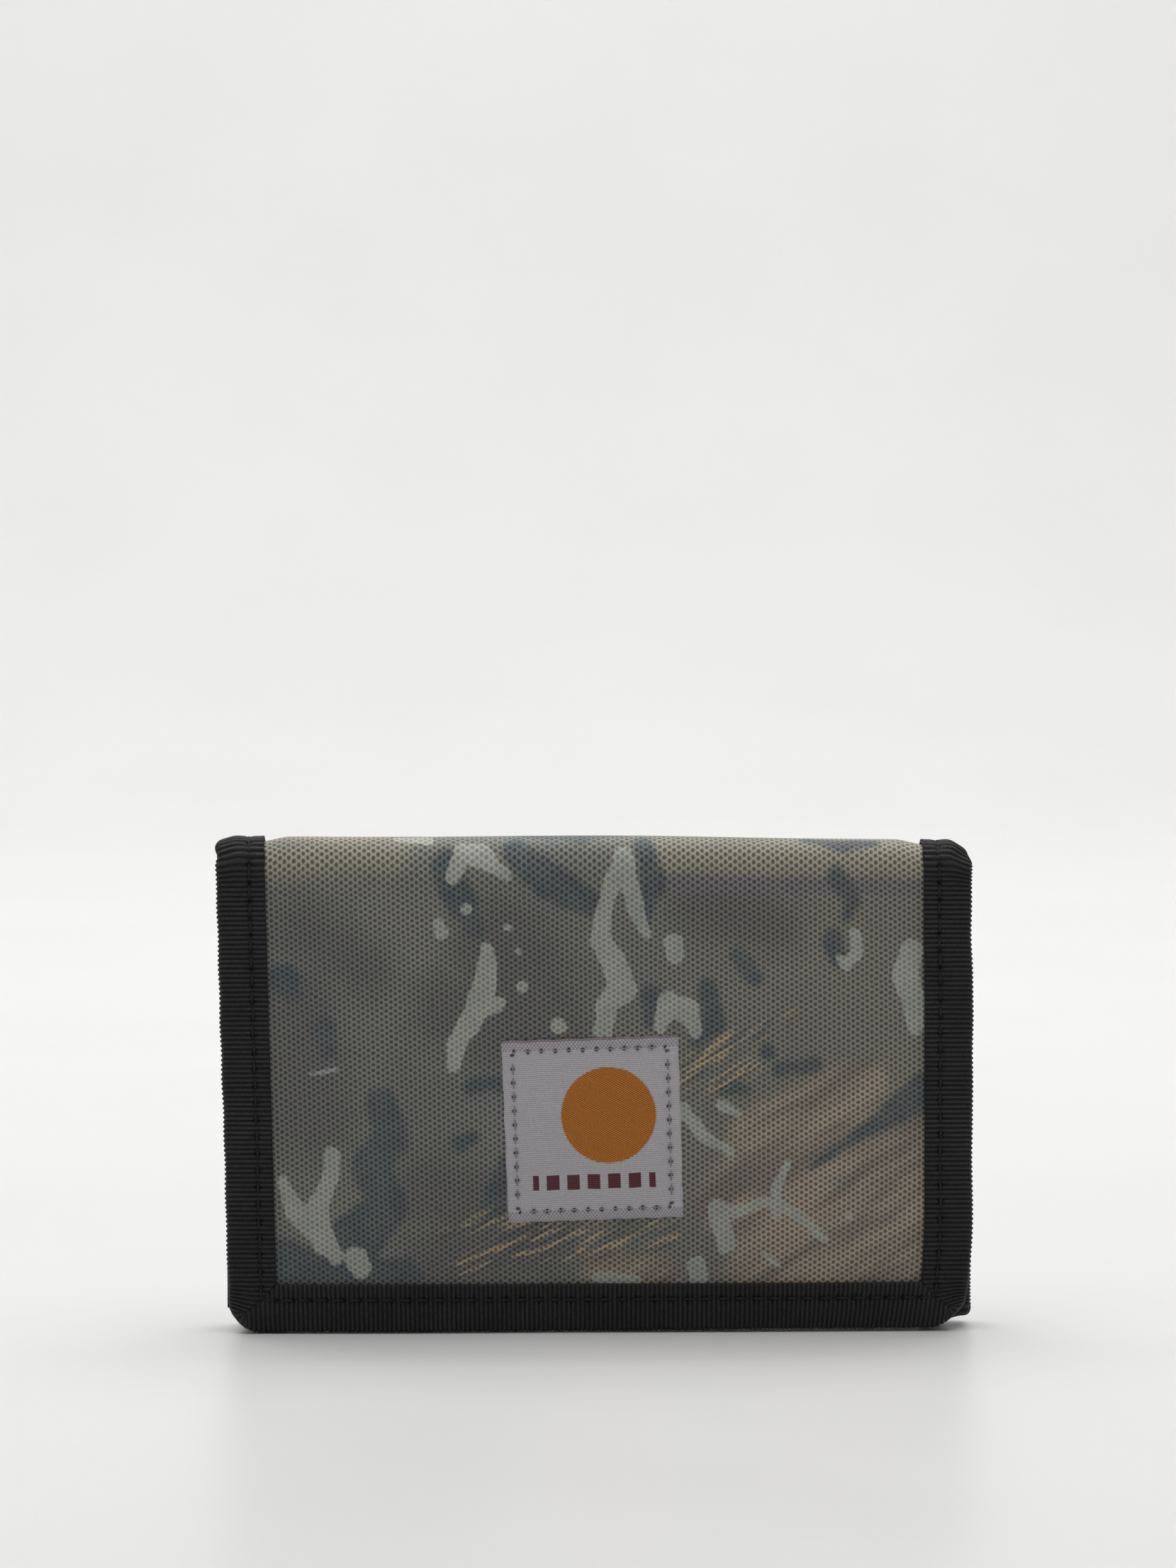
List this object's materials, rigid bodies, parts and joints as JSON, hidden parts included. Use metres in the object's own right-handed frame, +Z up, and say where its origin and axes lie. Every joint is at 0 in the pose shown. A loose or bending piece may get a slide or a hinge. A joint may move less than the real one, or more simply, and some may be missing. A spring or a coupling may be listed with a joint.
{
  "type": "trifold wallet",
  "caption": "Fabric trifold wallet with hook-and-loop flap, zipped coin panel, card slots and note pocket, edged with ribbed tape.",
  "frame": {"origin": "middle of the footprint at the bottom fold, wallet standing closed", "axes": "+X along the width, +Y from the front flap to the rear face, +Z up"},
  "size_m": [0.13, 0.012, 0.0846],
  "materials": {
    "printed_fabric": "satin woven",
    "lining_fabric": "matte woven",
    "ribbed_tape": "ribbed satin",
    "label_satin": "satin",
    "hook_tape": "bristled",
    "loop_tape": "fleecy",
    "zip_tape": "herringbone woven",
    "zip_coil": "semi-gloss nylon",
    "zip_metal": "semi-gloss black",
    "clear_film": "clear soft film"
  },
  "bodies": {
    "back_panel": {"back_shell": "printed_fabric", "note_pocket_lining": "lining_fabric", "card_slot_1": "lining_fabric", "card_slot_2": "lining_fabric", "card_slot_3": "lining_fabric", "back_tape_left": "ribbed_tape", "back_tape_right": "ribbed_tape", "bottom_fold_shell": "printed_fabric", "bottom_fold_lining": "lining_fabric", "bottom_fold_tape_left": "ribbed_tape", "bottom_fold_tape_right": "ribbed_tape"},
    "top_fold": {"top_fold_shell": "printed_fabric", "top_fold_lining": "lining_fabric", "top_fold_tape_left": "ribbed_tape", "top_fold_tape_right": "ribbed_tape"},
    "flap_head": {"flap_head_shell": "printed_fabric", "flap_head_lining": "lining_fabric", "flap_head_tape_left": "ribbed_tape", "flap_head_tape_right": "ribbed_tape"},
    "flap": {"flap_shell": "printed_fabric", "flap_lining": "lining_fabric", "flap_tape": "ribbed_tape", "hook_patch": "hook_tape", "woven_label": "label_satin"},
    "coin_panel": {"coin_shell_upper": "printed_fabric", "coin_shell_lower": "printed_fabric", "coin_lining": "lining_fabric", "coin_tape": "ribbed_tape", "loop_patch": "loop_tape", "window_film": "clear_film", "window_border": "ribbed_tape", "zip_chain_upper": "zip_coil", "zip_chain_lower": "zip_coil", "zip_tape_upper": "zip_tape", "zip_tape_lower": "zip_tape", "zip_stop_left": "zip_metal", "zip_stop_right": "zip_metal"},
    "zip_slider": {"zip_slider": "zip_metal"},
    "zip_pull": {"zip_pull": "zip_metal"}
  },
  "joints": [
    {"name": "unfold", "type": "hinge", "parent": "back_panel", "child": "top_fold", "pos_m": [0, 0.006, 0.0846], "axis": [-1, 0, 0], "range_deg": [0, 90]},
    {"name": "front_crease", "type": "hinge", "parent": "top_fold", "child": "flap_head", "pos_m": [0, -0.006, 0.0846], "axis": [-1, 0, 0], "range_deg": [0, 90]},
    {"name": "coin_fold", "type": "hinge", "parent": "back_panel", "child": "coin_panel", "pos_m": [0, -0.0017, 0.002], "axis": [1, 0, 0], "range_deg": [0, 90]},
    {"name": "flap_lift", "type": "hinge", "parent": "flap_head", "child": "flap", "pos_m": [0, -0.006, 0.0756], "axis": [-1, 0, 0], "range_deg": [0, 165]},
    {"name": "zip_slide", "type": "slide", "parent": "coin_panel", "child": "zip_slider", "axis": [1, 0, 0], "range_m": [0, 0.095]},
    {"name": "pull_swing", "type": "hinge", "parent": "zip_slider", "child": "zip_pull", "pos_m": [-0.0455, -0.00265, 0.0435], "axis": [0, 1, 0], "range_deg": [-60, 60]}
  ],
  "couplings": [
    {"joint": "front_crease", "follows": "unfold", "ratio": 1},
    {"joint": "coin_fold", "follows": "unfold", "ratio": 1}
  ]
}
